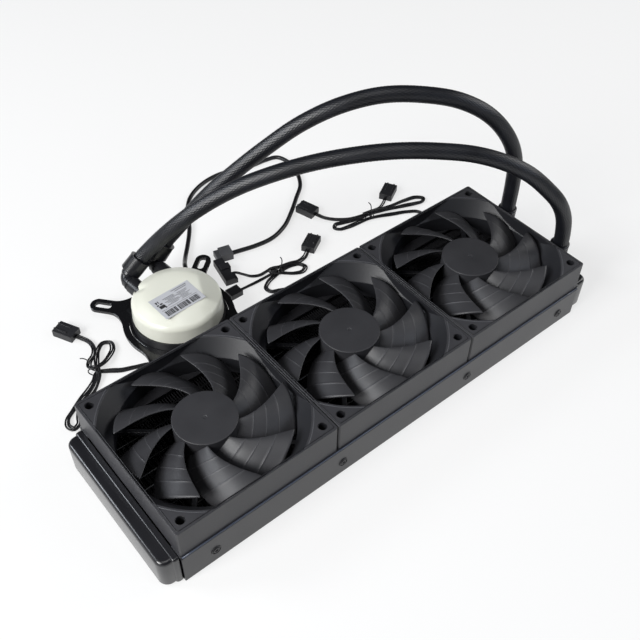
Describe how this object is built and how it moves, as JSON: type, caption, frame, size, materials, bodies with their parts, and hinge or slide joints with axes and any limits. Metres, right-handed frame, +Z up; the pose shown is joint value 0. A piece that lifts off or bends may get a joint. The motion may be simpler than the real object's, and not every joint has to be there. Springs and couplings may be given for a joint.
{
  "type": "all in one cpu liquid cooler",
  "caption": "Liquid cooler for a computer processor: a long flat radiator under a row of fans, two braided hoses and a round pump with a slotted bracket.",
  "frame": {"origin": "centre of the radiator's underside, in the plane that it rests on", "axes": "+X along the radiator to the end with the hose ports, +Y across it to the side where the pump lies, +Z up, out of the fans"},
  "size_m": [0.3877, 0.3186, 0.162],
  "materials": {
    "radiator_paint": "satin",
    "core_metal": "satin",
    "black_screws": "satin",
    "fan_plastic": "fine matt grain",
    "steel": "drawn",
    "magnet": "bonded ferrite",
    "bronze": "sintered",
    "motor_windings": "enamelled copper wire",
    "braided_sleeve": "braided, slight sheen",
    "collar_rubber": "satin",
    "pump_plastic": "satin",
    "copper": "machined",
    "seal_rubber": "matt",
    "steel_screws": "plated",
    "bracket_paint": "gloss",
    "rotor_plastic": "moulded",
    "ceramic": "polished",
    "circuit_board": "solder mask",
    "cap_plastic": "satin",
    "cable_sheath": "satin",
    "grey_plug_plastic": "moulded",
    "plug_plastic": "moulded"
  },
  "bodies": {
    "radiator": {"left_end_tank": "radiator_paint", "right_end_tank": "radiator_paint", "front_side_rail": "radiator_paint", "rear_side_rail": "radiator_paint", "coolant_tubes": "core_metal", "cooling_fins": "core_metal", "side_rail_screws": "black_screws", "fan_screws": "black_screws", "fan_1_frame": "fan_plastic", "fan_1_bearing": "bronze", "fan_1_stator": "motor_windings", "fan_2_frame": "fan_plastic", "fan_2_bearing": "bronze", "fan_2_stator": "motor_windings", "fan_3_frame": "fan_plastic", "fan_3_bearing": "bronze", "fan_3_stator": "motor_windings", "hose_1": "braided_sleeve", "hose_2": "braided_sleeve", "hose_collars": "collar_rubber", "elbow_fittings": "pump_plastic", "cold_plate": "copper", "cold_plate_gasket": "seal_rubber", "cold_plate_screws": "steel_screws", "mounting_bracket": "bracket_paint", "pump_housing": "pump_plastic", "pump_shaft": "ceramic", "pump_stator": "motor_windings", "pump_circuit_board": "circuit_board", "pump_cap": "cap_plastic", "pump_cable": "cable_sheath", "pump_plug": "grey_plug_plastic", "power_block": "plug_plastic", "power_lead": "cable_sheath", "power_socket": "plug_plastic", "fan_1_lead": "cable_sheath", "fan_1_hank": "cable_sheath", "fan_1_plug": "plug_plastic", "fan_2_lead": "cable_sheath", "fan_2_hank": "cable_sheath", "fan_2_plug": "plug_plastic", "fan_3_lead": "cable_sheath", "fan_3_hank": "cable_sheath", "fan_3_plug": "plug_plastic", "fan_3_branch": "cable_sheath", "fan_3_branch_plug": "plug_plastic", "cable_ties": "cable_sheath"},
    "fan_1_rotor": {"fan_1_impeller": "fan_plastic", "fan_1_rotor_yoke": "steel", "fan_1_magnet_ring": "magnet", "fan_1_shaft": "steel"},
    "fan_2_rotor": {"fan_2_impeller": "fan_plastic", "fan_2_rotor_yoke": "steel", "fan_2_magnet_ring": "magnet", "fan_2_shaft": "steel"},
    "fan_3_rotor": {"fan_3_impeller": "fan_plastic", "fan_3_rotor_yoke": "steel", "fan_3_magnet_ring": "magnet", "fan_3_shaft": "steel"},
    "pump_turbine": {"pump_rotor": "rotor_plastic"}
  },
  "joints": [
    {"name": "fan_1_spin", "type": "hinge", "parent": "radiator", "child": "fan_1_rotor", "pos_m": [-0.12, 0, 0.04], "axis": [0, 0, 1], "continuous": true},
    {"name": "fan_2_spin", "type": "hinge", "parent": "radiator", "child": "fan_2_rotor", "pos_m": [0, 0, 0.04], "axis": [0, 0, 1], "continuous": true},
    {"name": "fan_3_spin", "type": "hinge", "parent": "radiator", "child": "fan_3_rotor", "pos_m": [0.12, 0, 0.04], "axis": [0, 0, 1], "continuous": true},
    {"name": "pump_spin", "type": "hinge", "parent": "radiator", "child": "pump_turbine", "pos_m": [-0.067, 0.119, 0.012], "axis": [0, 0, 1], "continuous": true}
  ]
}
